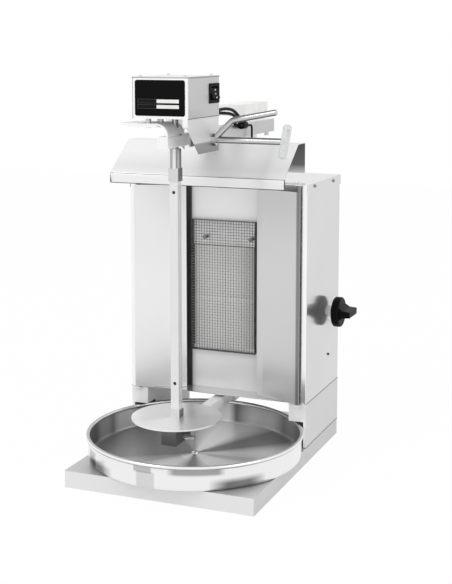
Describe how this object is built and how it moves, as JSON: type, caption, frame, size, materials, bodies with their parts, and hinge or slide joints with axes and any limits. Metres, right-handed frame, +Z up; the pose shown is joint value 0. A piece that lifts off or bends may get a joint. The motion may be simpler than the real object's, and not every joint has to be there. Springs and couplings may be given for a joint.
{
  "type": "gas doner kebab grill",
  "caption": "Upright gas kebab grill: a motor turns a vertical spit before an infrared burner in a steel casing with splash wings, hood and drip pan.",
  "frame": {"origin": "middle of the base tray's underside, on the worktop", "axes": "X to the right of a cook who faces the grill, Y towards its back, Z up"},
  "size_m": [0.5592, 0.7672, 0.9525],
  "materials": {
    "casing_steel": "brushed stainless sheet",
    "polished_steel": "mirror-polished stainless steel",
    "chromed_steel": "chromed round bar",
    "spit_steel": "polished square tube",
    "raw_steel": "plain turned or folded steel",
    "ceramic": "fired white ceramic, matt",
    "guard_wire": "bright wire mesh",
    "brass": "turned brass",
    "copper_pipe": "bent soft pipe, dull",
    "black_plastic": "black moulded plastic",
    "black_label": "glossy black label",
    "white_plastic": "white moulded plastic",
    "grip_plastic": "pale translucent plastic",
    "black_cable": "black rubber sheath",
    "motor_grey": "grey painted casting"
  },
  "bodies": {
    "frame": {"base_tray": "casing_steel", "base_bottom": "raw_steel", "left_leg": "casing_steel", "right_leg": "casing_steel", "left_side_panel": "casing_steel", "right_side_panel": "casing_steel", "casing_floor": "casing_steel", "rear_panel": "casing_steel", "roof_cover": "casing_steel", "roof_screws": "chromed_steel", "hood": "casing_steel", "burner_panel": "polished_steel", "ceramic_tiles": "ceramic", "burner_box": "raw_steel", "mixing_tube": "raw_steel", "gas_injector": "brass", "gas_pipe": "copper_pipe", "burner_guard": "guard_wire", "guard_bolts": "chromed_steel", "gas_valve": "brass", "valve_nut": "chromed_steel", "gas_inlet": "brass", "hinge_pins": "chromed_steel", "hinge_lugs": "raw_steel", "guide_sleeve": "casing_steel", "guide_end_cap": "casing_steel", "stop_bolt": "white_plastic", "guide_post": "casing_steel", "lower_guide": "casing_steel", "terminal_box": "white_plastic", "cable_gland": "black_plastic", "sensor_lead": "black_cable"},
    "motor_carriage": {"upper_arm": "casing_steel", "upper_bush": "brass", "console_shelf": "casing_steel", "spacer_bolts": "chromed_steel", "motor_box": "casing_steel", "motor_lid": "casing_steel", "lid_screws": "chromed_steel", "front_label": "black_label", "gear_motor": "motor_grey", "rear_bracket": "casing_steel", "switch_bezel": "black_plastic", "motor_cable": "black_cable"},
    "spit": {"drive_shaft": "polished_steel", "spit_tube": "spit_steel", "spit_foot": "polished_steel", "meat_disc": "polished_steel"},
    "lower_carriage": {"bearing_block": "casing_steel", "lower_bush": "brass", "block_bolt": "chromed_steel", "lower_arm": "casing_steel"},
    "left_splash_wing": {"left_wing": "polished_steel"},
    "right_splash_wing": {"right_wing": "polished_steel"},
    "clamp_handle": {"clamp_screw": "chromed_steel", "clamp_grip": "grip_plastic"},
    "rocker": {"switch_rocker": "black_plastic"},
    "push_spindle": {"valve_spindle": "raw_steel"},
    "control_knob": {"gas_knob": "black_plastic"},
    "pan": {"drip_pan": "polished_steel"}
  },
  "joints": [
    {"name": "carriage_slide", "type": "slide", "parent": "frame", "child": "motor_carriage", "axis": [0, 1, 0], "range_m": [0, 0.085], "deforming": ["motor_cable"]},
    {"name": "lower_arm_slide", "type": "slide", "parent": "frame", "child": "lower_carriage", "axis": [0, 1, 0], "range_m": [0, 0.085]},
    {"name": "spit_spin", "type": "hinge", "parent": "motor_carriage", "child": "spit", "pos_m": [0, -0.196, 0.165], "axis": [0, 0, 1], "continuous": true},
    {"name": "left_wing_hinge", "type": "hinge", "parent": "frame", "child": "left_splash_wing", "pos_m": [-0.21668, 0.03653, 0.42], "axis": [0, 0, -1], "range_deg": [0, 100]},
    {"name": "right_wing_hinge", "type": "hinge", "parent": "frame", "child": "right_splash_wing", "pos_m": [0.21668, 0.03653, 0.42], "axis": [0, 0, 1], "range_deg": [0, 100]},
    {"name": "clamp_turn", "type": "hinge", "parent": "motor_carriage", "child": "clamp_handle", "pos_m": [0.1, -0.134, 0.804], "axis": [1, 0, 0], "range_deg": [0, 90]},
    {"name": "switch_tilt", "type": "hinge", "parent": "motor_carriage", "child": "rocker", "pos_m": [0.0625, -0.132, 0.9095], "axis": [0, 1, 0], "range_deg": [0, 14]},
    {"name": "knob_push", "type": "slide", "parent": "frame", "child": "push_spindle", "axis": [-1, 0, 0], "range_m": [0, 0.0035], "stiffness_N_per_m": 500, "springref_m": -0.004},
    {"name": "knob_turn", "type": "hinge", "parent": "push_spindle", "child": "control_knob", "pos_m": [0.26, 0.23, 0.345], "axis": [1, 0, 0], "range_deg": [0, 210]},
    {"name": "pan_slide", "type": "slide", "parent": "frame", "child": "pan", "axis": [0, -1, 0], "range_m": [0, 0.2]}
  ],
  "couplings": [
    {"joint": "lower_arm_slide", "follows": "carriage_slide", "ratio": 1}
  ]
}
